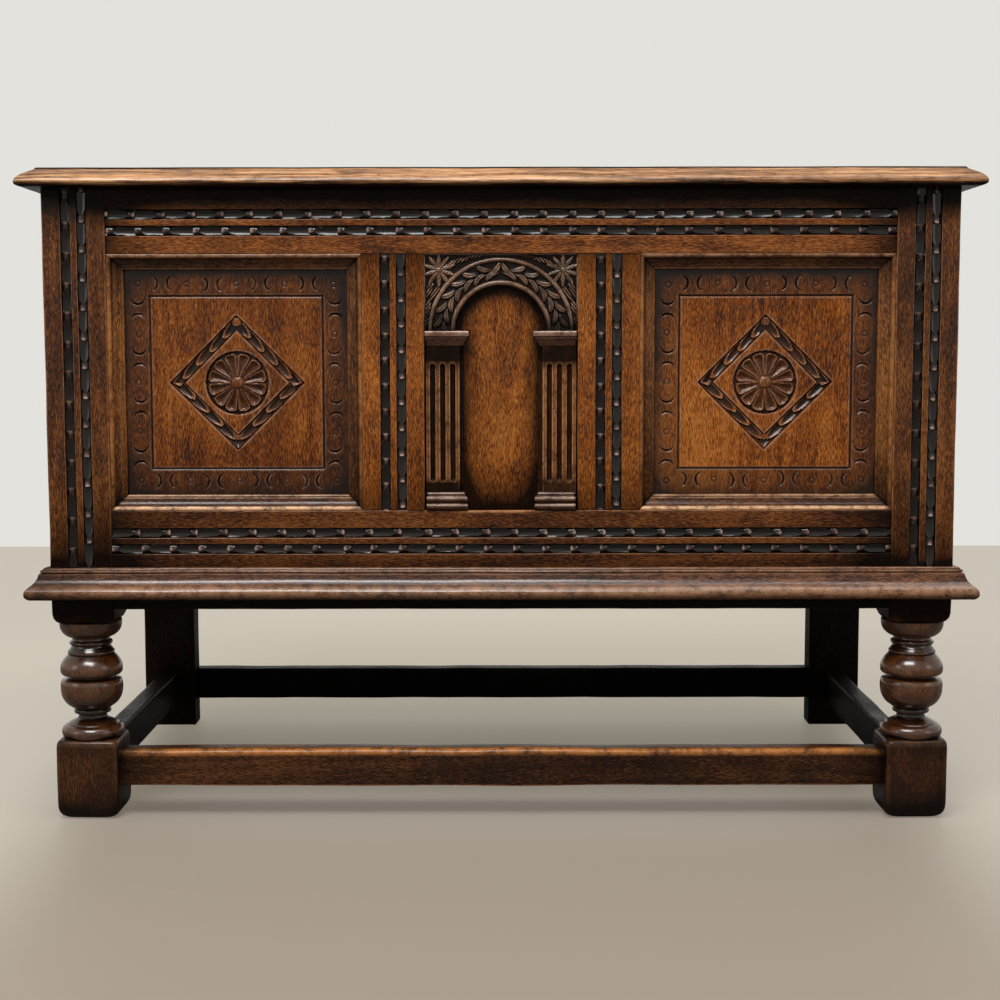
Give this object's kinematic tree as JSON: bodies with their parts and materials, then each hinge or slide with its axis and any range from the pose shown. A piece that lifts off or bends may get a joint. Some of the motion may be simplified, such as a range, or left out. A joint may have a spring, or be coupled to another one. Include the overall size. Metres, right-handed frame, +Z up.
{
  "type": "coffer chest",
  "caption": "Joined oak chest on a stand, with a hinged lid, carved front panels, an arched middle panel and turned front legs tied by stretchers.",
  "frame": {"origin": "centre of the whole chest's footprint, on the floor", "axes": "+Z up, +X to the chest's right as seen from its front, which faces -Y; +Y to the hinges at the back"},
  "size_m": [1.058, 0.5363, 0.73],
  "materials": {
    "oak_frame": "dark stained and waxed oak, worn bright on the arrises",
    "oak_panel": "dark stained oak panel with a soft wax sheen",
    "oak_carved": "carved oak, warm on the high parts and nearly black in the sunk ground",
    "oak_moulding": "dark moulded oak, polished by wear on the noses",
    "oak_lid": "oak lid boards, worn and scratched, with a low sheen",
    "oak_inside": "dry unpolished oak",
    "hinge_brass": "aged brass, dull",
    "screw_brass": "aged brass screws"
  },
  "bodies": {
    "carcass": {"arch_board": "oak_carved", "bearer_back": "oak_inside", "bearer_front": "oak_inside", "bottom_board_end_left": "oak_inside", "bottom_board_end_right": "oak_inside", "bottom_board_middle_left": "oak_inside", "bottom_board_middle_right": "oak_inside", "bottom_rail_back": "oak_frame", "bottom_rail_front": "oak_frame", "bottom_rail_left": "oak_frame", "bottom_rail_right": "oak_frame", "hinge_leaves_lower": "hinge_brass", "hinge_pins": "hinge_brass", "impost_left": "oak_carved", "impost_right": "oak_carved", "muntin_back": "oak_frame", "muntin_front_left": "oak_frame", "muntin_front_right": "oak_frame", "muntin_left": "oak_frame", "muntin_right": "oak_frame", "panel_back_left": "oak_panel", "panel_back_right": "oak_panel", "panel_front_centre": "oak_carved", "panel_front_left": "oak_carved", "panel_front_right": "oak_carved", "panel_left_far": "oak_panel", "panel_left_near": "oak_panel", "panel_right_far": "oak_panel", "panel_right_near": "oak_panel", "panel_trim_left": "oak_moulding", "panel_trim_right": "oak_moulding", "pilaster_base_left": "oak_carved", "pilaster_base_right": "oak_carved", "pilaster_left": "oak_carved", "pilaster_right": "oak_carved", "plinth_front": "oak_moulding", "plinth_left": "oak_moulding", "plinth_right": "oak_moulding", "post_back_left": "oak_frame", "post_back_right": "oak_frame", "post_front_left": "oak_frame", "post_front_right": "oak_frame", "screws_lower": "screw_brass", "stretcher_back": "oak_frame", "stretcher_front": "oak_frame", "stretcher_left": "oak_frame", "stretcher_right": "oak_frame", "top_rail_back": "oak_frame", "top_rail_front": "oak_frame", "top_rail_left": "oak_frame", "top_rail_right": "oak_frame"},
    "lid": {"hinge_leaves_upper": "hinge_brass", "lid_batten_left": "oak_inside", "lid_batten_right": "oak_inside", "lid_board_back": "oak_lid", "lid_board_front": "oak_lid", "lid_board_middle": "oak_lid", "screws_upper": "screw_brass"}
  },
  "joints": [
    {"name": "lid_hinge", "type": "hinge", "parent": "carcass", "child": "lid", "pos_m": [0, 0.26415, 0.708], "axis": [-1, 0, 0], "range_deg": [0, 100]}
  ]
}
